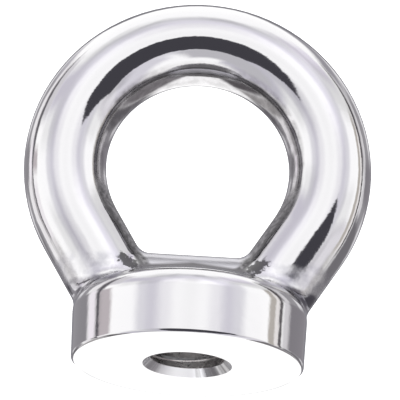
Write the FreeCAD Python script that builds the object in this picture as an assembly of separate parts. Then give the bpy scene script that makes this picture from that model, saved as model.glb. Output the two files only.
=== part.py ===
import FreeCAD, Part
import math
import os
from FreeCAD import Vector

# Lifting eye nut for an M12 thread, forged in one piece: a round-bar ring
# whose two legs run down into a turned boss, with a saddle between them.
# Millimetres. The origin is at the centre of the thread's mouth, on the seat.
# +Z points up through the ring, and the ring's axis lies along Y.

# Driving dimensions
thread_dia = 12.0        # nominal diameter of the female thread
thread_pitch = 1.75      # coarse pitch
eye_dia = 26.2           # clear opening of the ring
bar_dia = 11.8           # round section of the ring and its legs
saddle_relief = 0.2      # how far the saddle's round section lies inside the bar's
boss_dia = 33.0          # seat face, before its edge is broken
boss_height = 10.3       # from the seat to the boss's flat top
boss_flare = 1.5         # degrees that the boss's wall leans out on its way up
leg_inset = 6.0          # from the boss's top edge in to a leg's centre line
top_round = 3.5          # rounding of the boss's top edge
blend_radius = 2.5       # concave blends where bars meet the boss and each other
seat_edge_chamfer = 0.35 # broken outer edge of the seat
mouth_dia = 12.7         # chamfer of the thread at the seat
hole_depth = 9.5         # full-diameter depth of the blind tapping hole
drill_point_angle = 118.0 # degrees across the cone at the hole's blind end

# Sizes that follow from them
bar_radius = bar_dia / 2
saddle_radius = bar_radius - saddle_relief
seat_radius = boss_dia / 2
boss_top_radius = seat_radius + boss_height * math.tan(math.radians(boss_flare))
ring_radius = eye_dia / 2 + bar_radius
ring_height = boss_height + saddle_radius + eye_dia / 2
thread_depth_share = 1.0825   # of the pitch, between nominal and minor diameter
hole_radius = (thread_dia - thread_depth_share * thread_pitch) / 2
mouth_radius = mouth_dia / 2

# A leg is the straight tangent from its landing point on the boss's top to
# the ring's centre-line circle. The two angles place the tangent point.
landing_x = boss_top_radius - leg_inset
landing_drop = ring_height - boss_height
landing_distance = math.hypot(landing_x, landing_drop)
leg_angle = math.atan2(landing_x, landing_drop) + math.acos(ring_radius / landing_distance)
tangent_x = ring_radius * math.sin(leg_angle)
tangent_height = ring_height - ring_radius * math.cos(leg_angle)
leg_straight = math.sqrt(landing_distance**2 - ring_radius**2)
leg_buried = bar_radius * math.tan(leg_angle / 2)

# Edges are told apart by testing one point of each, just past its middle.
touch = 0.001            # within this distance an edge lies on a surface
probe_share = 0.55       # of the way along an edge, clear of seams and vertices


def ring_arc():
    """The ring as a bent round bar, from one tangent point over the top to the other."""
    start = Vector(tangent_x, 0, tangent_height)
    along = Vector(-math.cos(leg_angle), 0, -math.sin(leg_angle))
    section = Part.Face(Part.Wire(Part.Circle(start, along, bar_radius).toShape()))
    sweep = 360 - 2 * math.degrees(leg_angle)
    return section.revolve(Vector(0, 0, ring_height), Vector(0, -1, 0), sweep)


def leg(side):
    """A straight round leg, from the end of the ring down into the boss."""
    start = Vector(side * tangent_x, 0, tangent_height)
    along = Vector(-side * math.cos(leg_angle), 0, -math.sin(leg_angle))
    return Part.makeCylinder(bar_radius, leg_straight + leg_buried, start, along)


def saddle():
    """The half-round floor of the eye, lying across the boss's top from leg to leg."""
    start = Vector(-landing_x, 0, boss_height)
    return Part.makeCylinder(saddle_radius, 2 * landing_x, start, Vector(1, 0, 0))


def rims_at(height, body):
    """The closed round edges that lie level at the given height."""
    return [edge for edge in body.Edges if edge.Closed and abs(edge.CenterOfMass.z - height) < touch]


def boss():
    """The turned boss, slightly wider at the top, with its top edge rounded over."""
    body = Part.makeCone(seat_radius, boss_top_radius, boss_height)
    return body.makeFillet(top_round, rims_at(boss_height, body))


def lies_on(edge, shape):
    """Whether the edge's tested point is on the surface of the shape."""
    at = edge.FirstParameter + probe_share * (edge.LastParameter - edge.FirstParameter)
    return Part.Vertex(edge.valueAt(at)).distToShape(shape.Shells[0])[0] < touch


def forged_body():
    """Ring, legs, saddle and boss as one solid, blended wherever two of them meet."""
    loop = ring_arc().fuse([leg(-1), leg(1)])
    floor = saddle()
    base = boss()
    body = loop.fuse([floor, base]).removeSplitter()
    meeting = []
    for edge in body.Edges:
        if edge.Length < touch:
            continue
        surfaces = [lies_on(edge, shape) for shape in (loop, floor, base)]
        if sum(surfaces) > 1:
            meeting.append(edge)
    return body.makeFillet(blend_radius, meeting)


def tapping_hole():
    """What the drill and the countersink take away: chamfer, blind bore and drill point."""
    chamfer_depth = mouth_radius - hole_radius
    point_depth = hole_radius / math.tan(math.radians(drill_point_angle / 2))
    outline = [
        Vector(0, 0, 0),
        Vector(mouth_radius, 0, 0),
        Vector(hole_radius, 0, chamfer_depth),
        Vector(hole_radius, 0, hole_depth),
        Vector(0, 0, hole_depth + point_depth),
        Vector(0, 0, 0),
    ]
    half_section = Part.Face(Part.makePolygon(outline))
    return half_section.revolve(Vector(0, 0, 0), Vector(0, 0, 1), 360)


def eye_nut():
    """The finished nut: the forging, its seat edge broken and its thread hole cut."""
    body = forged_body()
    body = body.makeChamfer(seat_edge_chamfer, rims_at(0, body))
    return body.cut(tapping_hole())


os.makedirs("parts", exist_ok=True)
nut = eye_nut()
nut.exportStep("parts/eye_nut.step")
print("eye nut: valid", nut.isValid(), "solids", len(nut.Solids), "volume", round(nut.Volume, 1))
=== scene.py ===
import bpy
import bmesh
import math
from mathutils import Matrix, Vector


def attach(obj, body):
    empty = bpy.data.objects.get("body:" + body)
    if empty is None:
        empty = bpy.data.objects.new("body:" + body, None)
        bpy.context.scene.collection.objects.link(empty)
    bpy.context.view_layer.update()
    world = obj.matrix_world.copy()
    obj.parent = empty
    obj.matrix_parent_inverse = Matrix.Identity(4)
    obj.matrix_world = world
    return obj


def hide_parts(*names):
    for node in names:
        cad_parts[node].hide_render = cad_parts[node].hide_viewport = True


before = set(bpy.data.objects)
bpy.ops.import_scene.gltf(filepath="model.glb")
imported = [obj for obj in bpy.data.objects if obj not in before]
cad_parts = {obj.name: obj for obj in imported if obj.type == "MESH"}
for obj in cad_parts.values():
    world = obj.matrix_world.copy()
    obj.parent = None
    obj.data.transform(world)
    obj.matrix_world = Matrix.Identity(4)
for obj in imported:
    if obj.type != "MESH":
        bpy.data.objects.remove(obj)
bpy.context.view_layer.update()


# THE THREAD TAP
# The nut's M12 coarse thread is cut with a tap after forging and drilling. The
# tap's single ridge winds up a helix and leaves a 60 degree groove in the bore.

thread_pitch = 0.00175
bore_radius = 0.005053
groove_depth = 0.000947
groove_mouth = 0.75 * thread_pitch
groove_root = thread_pitch / 8
flank_lean = math.radians(30)
ridge_overlap = 0.00025      # how far inside the bore's wall the ridge begins
thread_start = -0.0016
thread_end = 0.0084
steps_per_turn = 72


def tap_tree():
    """Node tree: a V profile swept up a helix, closed at both ends."""
    tree = bpy.data.node_groups.new("tap_ridge", "GeometryNodeTree")
    for name, kind in (("Pitch", "Float"), ("Turns", "Float"), ("Radius", "Float"),
                       ("Steps per turn", "Int"), ("Profile", "Object"), ("Finish", "Material")):
        tree.interface.new_socket(name, in_out="INPUT", socket_type="NodeSocket" + kind)
    tree.interface.new_socket("Ridge", in_out="OUTPUT", socket_type="NodeSocketGeometry")
    nodes, link = tree.nodes, tree.links.new
    given = nodes.new("NodeGroupInput").outputs
    made = nodes.new("NodeGroupOutput")
    rise = nodes.new("ShaderNodeMath")
    rise.operation = "MULTIPLY"
    link(given["Pitch"], rise.inputs[0])
    link(given["Turns"], rise.inputs[1])
    helix = nodes.new("GeometryNodeCurveSpiral")
    for socket, value in (("Resolution", "Steps per turn"), ("Rotations", "Turns"),
                          ("Start Radius", "Radius"), ("End Radius", "Radius")):
        link(given[value], helix.inputs[socket])
    link(rise.outputs[0], helix.inputs["Height"])
    upright = nodes.new("GeometryNodeSetCurveNormal")
    upright.mode = "Z_UP"
    link(helix.outputs["Curve"], upright.inputs["Curve"])
    profile = nodes.new("GeometryNodeObjectInfo")
    link(given["Profile"], profile.inputs["Object"])
    sweep = nodes.new("GeometryNodeCurveToMesh")
    sweep.inputs["Fill Caps"].default_value = True
    link(upright.outputs["Curve"], sweep.inputs["Curve"])
    link(profile.outputs["Geometry"], sweep.inputs["Profile Curve"])
    solid = nodes.new("GeometryNodeRealizeInstances")
    link(sweep.outputs["Mesh"], solid.inputs["Geometry"])
    finish = nodes.new("GeometryNodeSetMaterial")
    link(solid.outputs["Geometry"], finish.inputs["Geometry"])
    link(given["Finish"], finish.inputs["Material"])
    link(finish.outputs["Geometry"], made.inputs["Ridge"])
    return tree


def bare_steel(name):
    """Plain steel to be finished: the material, its node tree, its surface and the spot on it."""
    steel = bpy.data.materials.new(name)
    steel.use_nodes = True
    tree = steel.node_tree
    surface = tree.nodes["Principled BSDF"].inputs
    surface["Metallic"].default_value = 1.0
    return steel, tree, surface, tree.nodes.new("ShaderNodeTexCoord").outputs["Object"]


def put_in(tree, value, socket):
    """Set the socket to a number or a colour, or link another socket to it."""
    if isinstance(value, (int, float, tuple)):
        socket.default_value = value
    else:
        tree.links.new(value, socket)


def clouds(tree, spot, scale, detail, roughness=0.5):
    """Irregular cloudiness over the steel, between nought and one."""
    noise = tree.nodes.new("ShaderNodeTexNoise")
    noise.inputs["Scale"].default_value = scale
    noise.inputs["Detail"].default_value = detail
    noise.inputs["Roughness"].default_value = roughness
    tree.links.new(spot, noise.inputs["Vector"])
    return noise.outputs["Fac"]


def two_tones(tree, value, dark, pale, start=0.0, end=1.0):
    """The dark tone up to the start, the pale one from the end on, and a blend between them."""
    ramp = tree.nodes.new("ShaderNodeValToRGB")
    for element, place, tone in zip(ramp.color_ramp.elements, (start, end), (dark, pale)):
        element.position = place
        element.color = tone + (1,)
    tree.links.new(value, ramp.inputs["Fac"])
    return ramp.outputs["Color"]


def between(tree, value, start, end, first=0.0, last=1.0, manner="SMOOTHSTEP"):
    """Goes from first to last while the value goes from start to end."""
    step = tree.nodes.new("ShaderNodeMapRange")
    step.interpolation_type = manner
    for name, number in (("Value", value), ("From Min", start), ("From Max", end),
                         ("To Min", first), ("To Max", last)):
        put_in(tree, number, step.inputs[name])
    return step.outputs["Result"]


def cut_steel():
    """Freshly tapped steel: darker than the polish, with the tool's fine chatter."""
    steel, tree, surface, spot = bare_steel("tapped_steel")
    grain = clouds(tree, spot, 700.0, 2.0)
    tone = two_tones(tree, grain, (0.60, 0.585, 0.58), (0.93, 0.915, 0.905))
    put_in(tree, tone, surface["Base Color"])
    put_in(tree, between(tree, grain, 0.0, 1.0, 0.18, 0.34, "LINEAR"), surface["Roughness"])
    return steel


tapped_steel = cut_steel()
half_mouth = groove_mouth / 2 + ridge_overlap * math.tan(flank_lean)
section = bpy.data.curves.new("tap_section", "CURVE")
section.dimensions = "2D"
outline = section.splines.new("POLY")
corners = [(-ridge_overlap, -half_mouth), (groove_depth, -groove_root / 2),
           (groove_depth, groove_root / 2), (-ridge_overlap, half_mouth)]
outline.points.add(len(corners) - 1)
for point, (out, along) in zip(outline.points, corners):
    point.co = (out, along, 0, 1)
outline.use_cyclic_u = True
tap_section = bpy.data.objects.new("tap_section", section)
bpy.context.scene.collection.objects.link(tap_section)

tap_tool = bpy.data.objects.new("tap_tool", bpy.data.meshes.new("tap_tool"))
bpy.context.scene.collection.objects.link(tap_tool)
wind = tap_tool.modifiers.new("wind", "NODES")
wind.node_group = tap_tree()
sizes = {"Pitch": thread_pitch, "Turns": (thread_end - thread_start) / thread_pitch,
         "Radius": bore_radius, "Steps per turn": steps_per_turn,
         "Profile": tap_section, "Finish": tapped_steel}
for socket in wind.node_group.interface.items_tree:
    if socket.in_out == "INPUT":
        wind[socket.identifier] = sizes[socket.name]
bpy.context.view_layer.update()
settled = bpy.context.evaluated_depsgraph_get()
tap_mesh = bpy.data.meshes.new_from_object(tap_tool.evaluated_get(settled))
tap_tool.modifiers.remove(wind)
tap_mesh.transform(Matrix.Translation((0, 0, thread_start)))
tap_tool.data = tap_mesh


# THE FORGED EYE NUT
# One stainless forging: a round-bar ring on two straight legs, a saddle between
# them and a turned boss. It is mirror polished all over after machining.

bar_radius = 0.0059
saddle_radius = 0.0057
ring_radius = 0.019
ring_height = 0.0291
seat_radius = 0.0165
boss_height = 0.0103
boss_lean = math.radians(1.5)
leg_inset = 0.006
top_round = 0.0035
seat_edge = 0.00035
mouth_radius = 0.00635
countersink_depth = 0.0013
drill_tip = 0.0126
landing = seat_radius + boss_height * math.tan(boss_lean) - leg_inset
leg_angle = math.atan2(landing, ring_height - boss_height)
leg_angle += math.acos(ring_radius / math.hypot(landing, ring_height - boss_height))
tangent_point = Vector((ring_radius * math.sin(leg_angle), 0, ring_height - ring_radius * math.cos(leg_angle)))
leg_way = Vector((-math.cos(leg_angle), 0, -math.sin(leg_angle)))


def reckon(tree, kind, *values):
    """The result of one sum on the values, each of them a number or a socket."""
    node = tree.nodes.new("ShaderNodeMath")
    node.operation = kind
    for value, socket in zip(values, node.inputs):
        put_in(tree, value, socket)
    return node.outputs[0]


def laid_over(tree, base, amount, colour):
    """The base colour with an amount of another colour over it."""
    mix = tree.nodes.new("ShaderNodeMix")
    mix.data_type = "RGBA"
    factor, under, top = mix.inputs["Factor"], mix.inputs[6], mix.inputs[7]
    for value, socket in ((amount, factor), (base, under), (colour, top)):
        put_in(tree, value, socket)
    return mix.outputs[2]


def relief(tree, height, depth, strength=1.0, under=None):
    """Fine unevenness of the surface, on top of the coarser one if that is given."""
    bump = tree.nodes.new("ShaderNodeBump")
    put_in(tree, height, bump.inputs["Height"])
    put_in(tree, depth, bump.inputs["Distance"])
    put_in(tree, strength, bump.inputs["Strength"])
    if under is not None:
        put_in(tree, under, bump.inputs["Normal"])
    return bump.outputs["Normal"]


def polished_steel_finish():
    """Mirror polish over forged steel, rougher where the wheel can't reach, with painted shade and painted
    reflections laid into its colour.
    """
    steel, tree, surface, spot = bare_steel("mirror_polish")
    # For each finish or painted shade, the two places between which it comes in, in metres.
    zones = {
        "eye's wall": (0.0153, 0.0148),          # from the ring's axis
        "eye's roof": (0.0400, 0.0445),          # height
        "eye's low half": (0.0275, 0.0235),      # height
        "leg": (0.0215, 0.0185),                 # height
        "leg's inner side": (0.0044, 0.0050),    # from the leg's axis towards the eye
        "border's polished side": (0.0042, 0.0046),
        "border's dull side": (0.0052, 0.0048),
        "border's length": (0.0250, 0.0205),     # height
        "saddle's end": (0.0056, 0.0064),        # from the leg's axis towards the eye
        "saddle's round": (0.0068, 0.0060),      # from the saddle's axis
        "valley's length": (0.0090, 0.0070),     # out from the middle
        "painted_valley_shade": (0.0141, 0.0135),              # height
        "scar's lower side": (0.0013, 0.0016),   # across the painted corner shade
        "scar's upper side": (0.0031, 0.0028),
        "scar's inner end": (-0.0004, 0.0002),   # along it
        "scar's outer end": (0.0032, 0.0026),
        "out on the foot": (0.0070, 0.0095),     # out from the middle
        "foot": (0.0156, 0.0138),                # height
        "hand work": (0.0155, 0.0125),           # height
        "hand work's bottom": (0.0078, 0.0092),
        "above the boss": (0.0099, 0.0104),      # height
        "out on the edge": (0.0090, 0.0125),     # out from the middle
        "edge's bottom": (0.0078, 0.0090),       # height
        "edge's top": (0.0110, 0.0104),
        "rim": (0.0156, 0.0158),                 # from the thread's axis
        "rim's height": (0.0002, 0.0001),
        "rim's back half": (0.0030, 0.0080),     # behind the middle
    }
    roof_share = 0.35          # how much of the inside's rougher finish and painted shade the eye's roof still has
    border_share = 0.80
    valley_fall = 0.12         # of the valley's height, on its way out
    painted_corner_shade_angle = math.radians(36)
    painted_corner_shade_x, painted_corner_shade_z = 0.0091, 0.0131

    def comes_in(zone, measure, share=1.0):
        """Nothing before the zone's first place, and the share from its second place on."""
        return between(tree, measure, *zones[zone], 0.0, share)

    def roughened(measure, size, ragged):
        """The measure with a ragged noise added, so that the finish ends in a ragged line."""
        return reckon(tree, "MULTIPLY_ADD", ragged, size, measure)

    def both(first, second):
        """One finish, kept to where the other shows too."""
        return reckon(tree, "MULTIPLY", first, second)

    def distance_from(axis_height, kept):
        """Distance from an axis at that height, over the two directions that are kept."""
        flat = tree.nodes.new("ShaderNodeVectorMath")
        flat.operation = "MULTIPLY_ADD"
        for value, socket in zip((spot, kept, (0, 0, -axis_height)), flat.inputs):
            put_in(tree, value, socket)
        length = tree.nodes.new("ShaderNodeVectorMath")
        length.operation = "LENGTH"
        put_in(tree, flat.outputs[0], length.inputs[0])
        return length.outputs["Value"]

    parts = tree.nodes.new("ShaderNodeSeparateXYZ")
    put_in(tree, spot, parts.inputs["Vector"])
    backwards, height = parts.outputs["Y"], parts.outputs["Z"]
    out = reckon(tree, "ABSOLUTE", parts.outputs["X"])

    def above_line(angle, x, z):
        """Distance above a line through that point, which rises outwards at the angle."""
        level = math.sin(angle) * x - math.cos(angle) * z
        outwards = reckon(tree, "MULTIPLY_ADD", out, -math.sin(angle), level)
        return reckon(tree, "MULTIPLY_ADD", height, math.cos(angle), outwards)

    ragged = clouds(tree, spot, 520.0, 2.0)
    crumbly = clouds(tree, spot, 1300.0, 3.0)
    above_boss = comes_in("above the boss", height)

    # The eye's wall and the legs' inner sides, rougher and painted darker as shade, with a painted dark
    # reflection along the legs.
    towards_eye = above_line(leg_angle, tangent_point.x, tangent_point.z)
    leg_side = roughened(towards_eye, 0.0008, ragged)
    eye_wall = comes_in("eye's wall", distance_from(ring_height, (1, 0, 1)),
                        between(tree, height, *zones["eye's roof"], 1.0, roof_share))
    leg_inside = comes_in("leg's inner side", leg_side, comes_in("leg", height))
    inside = both(reckon(tree, "MAXIMUM", eye_wall, leg_inside), above_boss)
    # Low in the eye it is rougher still, and painted near black as shade.
    rough_and_shaded_low = both(inside, comes_in("eye's low half", height))
    # The dark band along each leg's inner side is a painted reflection of the other leg.
    painted_dark_reflection = comes_in("border's dull side", leg_side, comes_in("border's length", height, border_share))
    painted_dark_reflection = both(comes_in("border's polished side", leg_side, painted_dark_reflection), above_boss)

    # The saddle, rougher and tinted lilac-grey as a painted reflection, and the valley between it and the boss,
    # painted dark as shade in the crease.
    saddle = comes_in("saddle's end", roughened(towards_eye, 0.0012, ragged),
                      comes_in("saddle's round", distance_from(boss_height, (0, 1, 1))))
    saddle = both(saddle, above_boss)
    # The valley is painted dark as shade in the crease.
    sloping = reckon(tree, "MULTIPLY_ADD", out, valley_fall, height)
    painted_valley_shade = both(comes_in("valley's length", out, comes_in("painted_valley_shade", sloping)), above_boss)

    # Painted shade in each corner between leg and saddle: a dark patch with ragged edges.
    across = roughened(above_line(painted_corner_shade_angle, painted_corner_shade_x, painted_corner_shade_z), 0.0016, ragged)
    across = roughened(across, 0.0026, crumbly)
    down = roughened(above_line(painted_corner_shade_angle - math.pi / 2, painted_corner_shade_x, painted_corner_shade_z), 0.0024, crumbly)
    painted_corner_shade = comes_in("scar's lower side", across, comes_in("scar's upper side", across))
    painted_corner_shade = comes_in("scar's inner end", down, comes_in("scar's outer end", down, painted_corner_shade))
    painted_corner_shade = both(painted_corner_shade, above_boss)

    # The hand-dressed feet, painted shade along the sides of the boss's top edge, and a painted dark line along
    # the seat's rim behind.
    out_on_foot = comes_in("out on the foot", out)
    foot = both(comes_in("foot", roughened(height, 0.0016, ragged), out_on_foot), above_boss)
    by_hand = both(comes_in("hand work", height, out_on_foot), comes_in("hand work's bottom", height))
    # Painted shade along the boss's top edge, out at the sides.
    edge = comes_in("edge's bottom", height, comes_in("edge's top", height))
    edge = comes_in("out on the edge", out, edge)
    # A painted dark line of shade along the seat's rim, on its back half.
    rim = comes_in("rim's height", height, comes_in("rim's back half", backwards))
    rim = comes_in("rim", distance_from(0, (1, 1, 0)), rim)

    grain = clouds(tree, spot, 700.0, 3.0)
    tone = two_tones(tree, clouds(tree, spot, 90.0, 2.0), (0.555, 0.55, 0.555), (0.60, 0.595, 0.60))
    patchy = two_tones(tree, clouds(tree, spot, 330.0, 3.0),
                       (0.47, 0.465, 0.49), (0.66, 0.655, 0.66), 0.40, 0.60)
    # The inside's darker tone is painted shade.
    dull_and_shaded = two_tones(tree, grain, (0.36, 0.352, 0.358), (0.53, 0.52, 0.53), 0.38, 0.66)
    painted_low_shade = two_tones(tree, clouds(tree, spot, 1500.0, 2.0),
                           (0.13, 0.127, 0.13), (0.31, 0.305, 0.31), 0.38, 0.66)
    painted_edge_shade = two_tones(tree, clouds(tree, spot, 300.0, 2.0),
                        (0.17, 0.166, 0.19), (0.50, 0.495, 0.51), 0.42, 0.60)
    # Over the base tone go the feet's random tone, then painted shade, painted reflections and the saddle's
    # painted tint.
    for amount, colour in ((foot, patchy), (inside, dull_and_shaded), (rough_and_shaded_low, painted_low_shade),
                           (painted_dark_reflection, (0.12, 0.118, 0.12, 1)), (saddle, (0.54, 0.535, 0.56, 1)),
                           (painted_valley_shade, (0.17, 0.165, 0.17, 1)), (painted_corner_shade, (0.11, 0.108, 0.11, 1)),
                           (edge, painted_edge_shade), (rim, (0.38, 0.38, 0.385, 1))):
        tone = laid_over(tree, tone, amount, colour)
    put_in(tree, tone, surface["Base Color"])

    roughness = between(tree, clouds(tree, spot, 60.0, 2.0), 0.0, 1.0, 0.03, 0.09)
    for amount, own in ((inside, 0.13), (foot, 0.26), (rough_and_shaded_low, 0.38), (saddle, 0.32)):
        roughness = between(tree, amount, 0.0, 1.0, roughness, own)
    put_in(tree, roughness, surface["Roughness"])

    waves = relief(tree, clouds(tree, spot, 160.0, 1.0), 0.00004)
    dressed = relief(tree, clouds(tree, spot, 420.0, 2.0), 0.00007, by_hand, waves)
    put_in(tree, relief(tree, grain, 0.000012, 1.0, dressed), surface["Normal"])
    return steel


def turned_steel_finish():
    """The countersink as the tool left it: fine rings round the axis, with chatter across them."""
    steel, tree, surface, spot = bare_steel("turned_steel")
    flat = tree.nodes.new("ShaderNodeVectorMath")
    flat.operation = "MULTIPLY"
    put_in(tree, spot, flat.inputs[0])
    put_in(tree, (1, 1, 0), flat.inputs[1])
    way_out = tree.nodes.new("ShaderNodeVectorMath")
    way_out.operation = "NORMALIZE"
    put_in(tree, flat.outputs[0], way_out.inputs[0])
    side = tree.nodes.new("ShaderNodeSeparateXYZ")
    put_in(tree, way_out.outputs[0], side.inputs["Vector"])
    # Left of the middle, in front and behind, the countersink is rougher and carries a painted highlight that
    # makes it paler.
    rough_with_painted_highlight = between(tree, side.outputs["X"], -0.80, -0.60)
    rough_with_painted_highlight = between(tree, side.outputs["X"], 0.35, 0.05, 0.0, rough_with_painted_highlight)
    chatter = clouds(tree, way_out.outputs[0], 6.0, 1.6, 0.7)
    chatter_and_painted_highlight = reckon(tree, "MULTIPLY_ADD", rough_with_painted_highlight, 0.22, chatter)
    tone = two_tones(tree, chatter_and_painted_highlight, (0.36, 0.36, 0.365), (0.86, 0.86, 0.87), 0.36, 0.62)
    put_in(tree, tone, surface["Base Color"])
    put_in(tree, between(tree, rough_with_painted_highlight, 0.0, 1.0, 0.22, 0.52, "LINEAR"), surface["Roughness"])
    rings = tree.nodes.new("ShaderNodeTexWave")
    rings.wave_type = "RINGS"
    rings.rings_direction = "Z"
    rings.inputs["Scale"].default_value = 2400.0
    rings.inputs["Distortion"].default_value = 0.6
    put_in(tree, spot, rings.inputs["Vector"])
    put_in(tree, relief(tree, rings.outputs["Fac"], 0.000004, 0.3), surface["Normal"])
    return steel


weld = 1e-7                    # points closer than this are one
polished_steel = polished_steel_finish()
nut_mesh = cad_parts["eye_nut"].data.copy()
nut_mesh.materials.clear()
nut_mesh.materials.append(polished_steel)
shape = bmesh.new()
shape.from_mesh(nut_mesh)
bmesh.ops.remove_doubles(shape, verts=shape.verts, dist=weld)
shape.to_mesh(nut_mesh)
shape.free()
nut = bpy.data.objects.new("forged_eye_nut", nut_mesh)
bpy.context.scene.collection.objects.link(nut)
cut = nut.modifiers.new("cut", "BOOLEAN")
cut.operation = "DIFFERENCE"
cut.solver = "EXACT"
cut.material_mode = "TRANSFER"
cut.object = tap_tool
bpy.context.view_layer.update()
settled = bpy.context.evaluated_depsgraph_get()
nut_mesh = bpy.data.meshes.new_from_object(nut.evaluated_get(settled))
nut.modifiers.remove(cut)
nut.data = nut_mesh

# The feet of the legs are split into level rings, so that their shading can be softened.
touch = 2e-6                   # within this distance a point lies on a surface
crease = math.radians(28)
slant = (0.5, 0.9)             # how much a chamfered face looks down
foot_bottom = 0.0105
foot_top = 0.0165
foot_step = 0.0005
foot_fade = 0.002
foot_passes = 12
saddle_clear = 0.005
nut_mesh.materials.append(turned_steel_finish())
turned = len(nut_mesh.materials) - 1
shape = bmesh.new()
shape.from_mesh(nut_mesh)
level = foot_bottom
while level < foot_top:
    everything = shape.verts[:] + shape.edges[:] + shape.faces[:]
    bmesh.ops.bisect_plane(shape, geom=everything, dist=weld, plane_co=(0, 0, level), plane_no=(0, 0, 1))
    level += foot_step
bmesh.ops.triangulate(shape, faces=[face for face in shape.faces if len(face.verts) > 3])
for face in shape.faces:
    face.smooth = True
    middle = face.calc_center_median()
    slanted = slant[0] < -face.normal.z < slant[1]
    from_axis = math.hypot(middle.x, middle.y)
    in_mouth = slanted and middle.z < countersink_depth and from_axis < mouth_radius
    in_bore = from_axis < bore_radius + touch and middle.z < drill_tip
    if in_mouth or in_bore:
        face.material_index = turned
for edge in shape.edges:
    if len(edge.link_faces) == 2:
        edge.smooth = edge.calc_face_angle() < crease
shape.verts.index_update()
joined = [[] for _ in shape.verts]
for edge in shape.edges:
    if edge.smooth:
        first, second = (end.index for end in edge.verts)
        joined[first].append(second)
        joined[second].append(first)
shape.to_mesh(nut_mesh)
shape.free()


def ring_normal(point):
    """Outward normal of the bent bar at a point on it, or nothing."""
    out = math.hypot(point.x, point.z - ring_height)
    if out < 1e-6 or abs(math.hypot(out - ring_radius, point.y) - bar_radius) > touch:
        return None
    if point.z < ring_height - out * math.cos(leg_angle) - touch:
        return None
    share = ring_radius / out
    return point - Vector((point.x * share, 0, ring_height + (point.z - ring_height) * share))


def leg_normal(point):
    """The same for the straight leg on the point's side."""
    away = Vector((abs(point.x), point.y, point.z)) - tangent_point
    out = away - leg_way * away.dot(leg_way)
    if abs(out.length - bar_radius) > touch:
        return None
    return Vector((math.copysign(1, point.x) * out.x, out.y, out.z))


def saddle_normal(point):
    """The same for the round floor of the eye."""
    out = Vector((0, point.y, point.z - boss_height))
    return out if abs(out.length - saddle_radius) < touch else None


def turned_normal(point, lean):
    """Normal of a turned surface that looks down by the lean at that point."""
    out = math.hypot(point.x, point.y)
    return Vector((point.x / out * math.cos(lean), point.y / out * math.cos(lean), -math.sin(lean)))


def boss_normal(point):
    """The same for the boss's wall and its rounded top edge."""
    out = math.hypot(point.x, point.y)
    round_height = boss_height - top_round
    round_radius = seat_radius + round_height * math.tan(boss_lean) - top_round / math.cos(boss_lean)
    off_wall = (seat_radius + point.z * math.tan(boss_lean) - out) * math.cos(boss_lean)
    if abs(off_wall) < touch and point.z < round_height:
        return turned_normal(point, boss_lean)
    off_round = math.hypot(out - round_radius, point.z - round_height) - top_round
    if abs(off_round) < touch and out > round_radius:
        inwards = 1 - round_radius / out
        return Vector((point.x * inwards, point.y * inwards, point.z - round_height))
    return None


true_normals = {}
for corner in nut_mesh.vertices:
    for surface in (ring_normal, leg_normal, saddle_normal, boss_normal):
        found = surface(corner.co)
        if found is not None:
            true_normals.setdefault(corner.index, []).append(found.normalized())

# The hand-dressed feet: each normal is drawn towards those of the points round it.
softness = {}
soft_normals = {}
for corner in nut_mesh.vertices:
    x, y, z = corner.co
    if foot_bottom < z < foot_top + foot_fade and abs(x) > saddle_clear:
        softness[corner.index] = min(1.0, (foot_top + foot_fade - z) / foot_fade, (z - foot_bottom) / foot_step)
    own = true_normals.get(corner.index)
    soft_normals[corner.index] = own[0] if own else corner.normal.copy()
for _ in range(foot_passes):
    fresh = {}
    for index, share in softness.items():
        around = sum((soft_normals[other] for other in joined[index]), Vector())
        if around.length > 0:
            fresh[index] = soft_normals[index].lerp(around.normalized(), 0.5 * share).normalized()
    soft_normals.update(fresh)

# The seat's broken edge is rolled over by the polishing, most of all away from the front.
rim_inner = 0.96 * seat_radius
rolled_top = math.radians(8)
rolled_front = math.radians(27)
rolled_sides = math.radians(22)
roll_start, roll_spread = 15, 20     # degrees from the front
same_side = 0.93
corner_normals = []
for face in nut_mesh.polygons:
    for corner in face.vertices:
        place = nut_mesh.vertices[corner].co
        slanted = slant[0] < -face.normal.z < slant[1]
        if slanted and math.hypot(place.x, place.y) > rim_inner and place.z < 2 * seat_edge:
            round_side = math.degrees(math.atan2(abs(place.x), -place.y))
            aside = min(1.0, max(0.0, (round_side - roll_start) / roll_spread))
            roll = rolled_top if place.z > seat_edge / 2 else rolled_front + rolled_sides * aside
            corner_normals.append(turned_normal(place, roll))
        elif corner in softness:
            corner_normals.append(soft_normals[corner])
        else:
            close = [n for n in true_normals.get(corner, ()) if n.dot(face.normal) > same_side]
            corner_normals.append(max(close, key=face.normal.dot) if close else Vector((0, 0, 0)))
nut_mesh.normals_split_custom_set(corner_normals)
for leftover in (tap_tool, tap_section):
    bpy.data.objects.remove(leftover)
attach(nut, "root")
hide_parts("eye_nut")


# THE SURROUNDINGS
# A light tent with a pale floor far below and a big soft light in front. The
# mirror polish shows the cloths and cards that hang round the part, and the
# dark opening where the camera looks in.

floor_radius = 4.0
floor_depth = 0.26
floor_mesh = bpy.data.meshes.new("floor")
shape = bmesh.new()
bmesh.ops.create_circle(shape, cap_ends=True, segments=96, radius=floor_radius)
shape.to_mesh(floor_mesh)
shape.free()
floor = bpy.data.objects.new("floor", floor_mesh)
floor.location = (0, 0, -floor_depth)
bpy.context.scene.collection.objects.link(floor)
pale = bpy.data.materials.new("pale_floor")
pale.use_nodes = True
pale.node_tree.nodes["Principled BSDF"].inputs["Base Color"].default_value = (0.86, 0.86, 0.87, 1)
pale.node_tree.nodes["Principled BSDF"].inputs["Roughness"].default_value = 0.9
floor_mesh.materials.append(pale)
floor.visible_glossy = False   # the steel shows the tent's own table in its place

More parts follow.
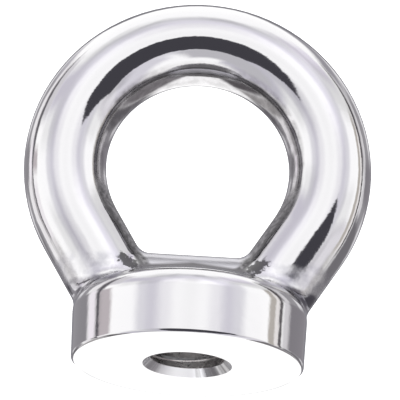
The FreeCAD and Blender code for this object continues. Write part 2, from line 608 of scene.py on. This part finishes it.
world = bpy.data.worlds.new("light_tent")
bpy.context.scene.world = world
world.use_nodes = True
tent = world.node_tree
steel_share = 0.58             # of the light, that the polished steel gives back
way = tent.nodes.new("ShaderNodeTexCoord").outputs["Generated"]
split = tent.nodes.new("ShaderNodeSeparateXYZ")
put_in(tent, way, split.inputs["Vector"])
turn = reckon(tent, "ARCTAN2", split.outputs["X"], reckon(tent, "MULTIPLY", split.outputs["Y"], -1))
turn = reckon(tent, "DEGREES", turn)
height = reckon(tent, "DEGREES", reckon(tent, "ARCSINE", split.outputs["Z"]))


def towards(azimuth, elevation):
    """Direction for an azimuth from -Y towards +X and a height above the horizon."""
    a, e = math.radians(azimuth), math.radians(elevation)
    return Vector((math.sin(a) * math.cos(e), -math.cos(a) * math.cos(e), math.sin(e)))


def along(direction):
    """How far the looked-at direction points along the given one."""
    node = tent.nodes.new("ShaderNodeVectorMath")
    node.operation = "DOT_PRODUCT"
    put_in(tent, way, node.inputs[0])
    node.inputs[1].default_value = direction
    return node.outputs["Value"]


def light(rgb):
    """Screen colour of a thing seen in the steel, as the light that it sends out."""
    return tuple(((c / 255 + 0.055) / 1.055) ** 2.4 / steel_share for c in rgb) + (1,)


def edge_of(distance, soft):
    """One inside an edge and nothing outside it, from how far outside the direction lies."""
    return between(tent, distance, soft, -soft)


def hung(left, right, low, high, side_soft, end_soft):
    """Where a soft-edged cloth hangs, from one azimuth to another and between two heights."""
    off_middle = reckon(tent, "WRAP", reckon(tent, "SUBTRACT", turn, (left + right) / 2), 180, -180)
    past_side = reckon(tent, "SUBTRACT", reckon(tent, "ABSOLUTE", off_middle), (right - left) / 2)
    off_level = reckon(tent, "ABSOLUTE", reckon(tent, "SUBTRACT", height, (low + high) / 2))
    past_end = reckon(tent, "SUBTRACT", off_level, (high - low) / 2)
    return reckon(tent, "MULTIPLY", edge_of(past_side, side_soft), edge_of(past_end, end_soft))


def panel(base, left, right, low, high, rgb, side_soft, end_soft):
    """Lay a soft-edged panel over the base."""
    place = hung(left, right, low, high, side_soft, end_soft)
    return laid_over(tent, base, place, light(rgb))


def gauze(base, left, right, low, high, share, side_soft, end_soft):
    """A soft-edged scrim in the same kind of place, which passes a share of the light."""
    place = hung(left, right, low, high, side_soft, end_soft)
    dimmed = tent.nodes.new("ShaderNodeVectorMath")
    dimmed.operation = "SCALE"
    put_in(tent, base, dimmed.inputs[0])
    put_in(tent, reckon(tent, "MULTIPLY_ADD", place, share - 1, 1), dimmed.inputs["Scale"])
    return dimmed.outputs[0]


def opening(corners, soft):
    """How much of the looked-at direction lies inside the outline, corners going clockwise."""
    outside = None
    for first, second in zip(corners, corners[1:] + corners[:1]):
        past = along(towards(*first).cross(towards(*second)).normalized())
        outside = past if outside is None else reckon(tent, "MAXIMUM", outside, past)
    return edge_of(outside, math.radians(soft))


# The big front light fades outwards to a grey ring and is white again beyond it:
# degrees from its middle, and the tone there.
shades = [(0, (243, 243, 244)), (12, (247, 247, 248)), (24, (232, 231, 235)), (37, (205, 203, 212)),
          (47, (216, 215, 221)), (58, (250, 250, 251)), (90, (252, 252, 252))]
front_light = tent.nodes.new("ShaderNodeValToRGB")
front_light.color_ramp.interpolation = "EASE"
fading = front_light.color_ramp.elements
fading[0].color = light(shades[0][1])
fading[1].color = light(shades[-1][1])
for degrees, rgb in shades[1:-1]:
    fading.new(degrees / 90).color = light(rgb)
off_light = reckon(tent, "DIVIDE", reckon(tent, "ARCCOSINE", along(towards(-1, 14))), math.pi / 2)
put_in(tent, off_light, front_light.inputs["Fac"])
seen = front_light.outputs["Color"]

# Each panel: azimuths of its left and right sides, heights of its low and high
# ends, its tone as seen in the steel, and how soft the sides and the ends are.
panels = [
    # cloths low in front: left, middle and right
    (-80, -18, -62, -22, (190, 188, 198), 5, 7),
    (-60, 16, -53, -30, (184, 183, 188), 6, 4),
    (24, 82, -42, -14, (210, 208, 216), 6, 6),
    (48, 84, -16, -2, (218, 216, 221), 4, 4),
    # shades high up: behind and in front, on the left and then on the right
    (-150, -104, 35, 48, (172, 170, 176), 8, 4),
    (-84, -38, 33, 48, (212, 209, 220), 8, 5),
    (104, 160, 42, 56, (146, 144, 150), 8, 4),
    (38, 86, 48, 64, (222, 218, 229), 8, 6),
    # left side of the tent, from the bottom up
    (-104, -88, -16, 8, (234, 231, 234), 3, 4),
    (-104, -85, 11, 20, (184, 177, 180), 3, 3),
    (-104, -80, 30, 54, (204, 202, 206), 4, 4),
    # right side: a beige cloth and a light strip behind it
    (83, 92, -14, 38, (176, 171, 165), 2, 4),
    (92, 97, -14, 38, (226, 222, 221), 1.5, 4),
    # the tent's corners, left and right, with a dark pole in each
    (-112, -104, -14, 50, (172, 169, 171), 3, 4),
    (104, 115, -14, 50, (202, 200, 203), 3, 4),
    (-109, -98, 17, 45, (112, 110, 114), 3, 5),
    (99, 106, 20, 45, (106, 103, 106), 2.5, 5),
    (-105, -101, -14, 55, (88, 86, 91), 1.5, 4),
    (97, 102, -14, 55, (84, 81, 83), 1.5, 4),
    # behind the corners: a light strip, a grey cloth on each side, a paler one past it
    (-124, -112, -14, 50, (228, 226, 228), 3, 4),
    (-144, -127, -14, 40, (144, 142, 146), 4, 4),
    (116, 141, -14, 42, (144, 142, 146), 4, 4),
    (-155, -144, -6, 40, (200, 199, 202), 3, 4),
    (142, 155, -6, 40, (200, 199, 202), 3, 4),
    # the dark back wall
    (155, 205, 0, 53, (116, 115, 120), 3, 4),
    # bands above the horizon and below it, which the boss's sides show
    (-160, -120, 10, 22, (134, 132, 136), 4, 3),
    (-117, -107, 10, 22, (236, 231, 237), 3, 3),
    (114, 158, 10, 22, (124, 121, 126), 4, 3),
    (104, 166, -16, 3, (110, 108, 112), 5, 3),
    (-172, -140, -16, 3, (104, 102, 106), 5, 3),
    # dark cloths low at the sides, left and then right
    (-155, -84, -36, -16, (162, 160, 160), 5, 4),
    (-155, -82, -66, -38, (98, 95, 98), 6, 5),
    (-101, -84, -62, -24, (92, 90, 92), 3, 5),
    (80, 150, -66, -16, (128, 125, 128), 5, 6),
    (81, 94, -62, -18, (106, 103, 104), 3, 4),
    # a white card low at the back, which the seat shows, and the table right below
    (158, 202, -48, -7, (255, 255, 255), 5, 3),
    (-180, 180, -90, -75, (168, 166, 168), 5, 3),
]
for sizes in panels:
    seen = panel(seen, *sizes)

# Scrims in front of the light: the same figures, with the share of light passed.
# A share over one is a reflector.
gauzes = [
    # high up, left and right of the front light
    (-78, -38, 20, 56, 0.84, 8, 6),
    (-60, -22, 50, 68, 0.80, 8, 6),
    (2, 56, 55, 68, 0.84, 6, 4),
    (48, 110, 37, 54, 0.73, 8, 5),
    # reflectors close to the front light
    (8, 38, 25, 47, 1.30, 8, 6),
    (-32, -8, 27, 46, 1.16, 6, 6),
    (-12, 14, 45, 55, 1.14, 6, 4),
    # overhead, and in the right corner
    (-32, 20, 59, 71, 0.85, 6, 4),
    (88, 108, 31, 42, 0.84, 4, 4),
    # low down, right and left
    (44, 76, -6, 12, 0.84, 8, 5),
    (40, 58, -24, -8, 0.74, 5, 5),
    (-66, -26, -24, -2, 0.80, 8, 6),
    (-40, -14, -6, 9, 0.86, 6, 5),
]
for sizes in gauzes:
    seen = gauze(seen, *sizes)

opening_corners = [(-31, -3), (-4, 5), (31, 12), (38, 7), (50, -11), (45, -18), (33, -23), (8, -33),
                   (-20, -30), (-29, -15)]
seen = laid_over(tent, seen, opening(opening_corners, 1.2), light((63, 62, 68)))
kind = tent.nodes.new("ShaderNodeLightPath")
seen = laid_over(tent, seen, kind.outputs["Is Camera Ray"], light((250, 250, 250)))
put_in(tent, seen, tent.nodes["Background"].inputs["Color"])
bpy.context.scene.view_settings.view_transform = "Standard"


# THE CAMERA
# A long lens, 0.7 metres away. It looks up from below, a little from the left and
# with a slight roll, as fitted to the outlines of ring, eye and seat.

azimuth, elevation, roll = math.radians(-0.783), math.radians(-18.32), math.radians(3.076)
distance = 0.7
aside, below = 0.000333, 0.00427     # of the ring's middle, where the picture's centre lies
camera = bpy.data.objects.new("camera", bpy.data.cameras.new("camera"))
bpy.context.scene.collection.objects.link(camera)
level = math.cos(elevation)
backward = Vector((math.sin(azimuth) * level, -math.cos(azimuth) * level, math.sin(elevation)))
rightward = Vector((math.cos(azimuth), math.sin(azimuth), 0))
up = backward.cross(rightward)
side = rightward * math.cos(roll) + up * math.sin(roll)
top = up * math.cos(roll) - rightward * math.sin(roll)
aim = Vector((0, 0, ring_height)) + side * aside - top * below
pose = Matrix((side, top, backward)).transposed().to_4x4()
pose.translation = aim + backward * distance
camera.matrix_world = pose
camera.data.lens = 439.9
camera.data.sensor_width = 36
camera.data.clip_end = 20
bpy.context.scene.camera = camera
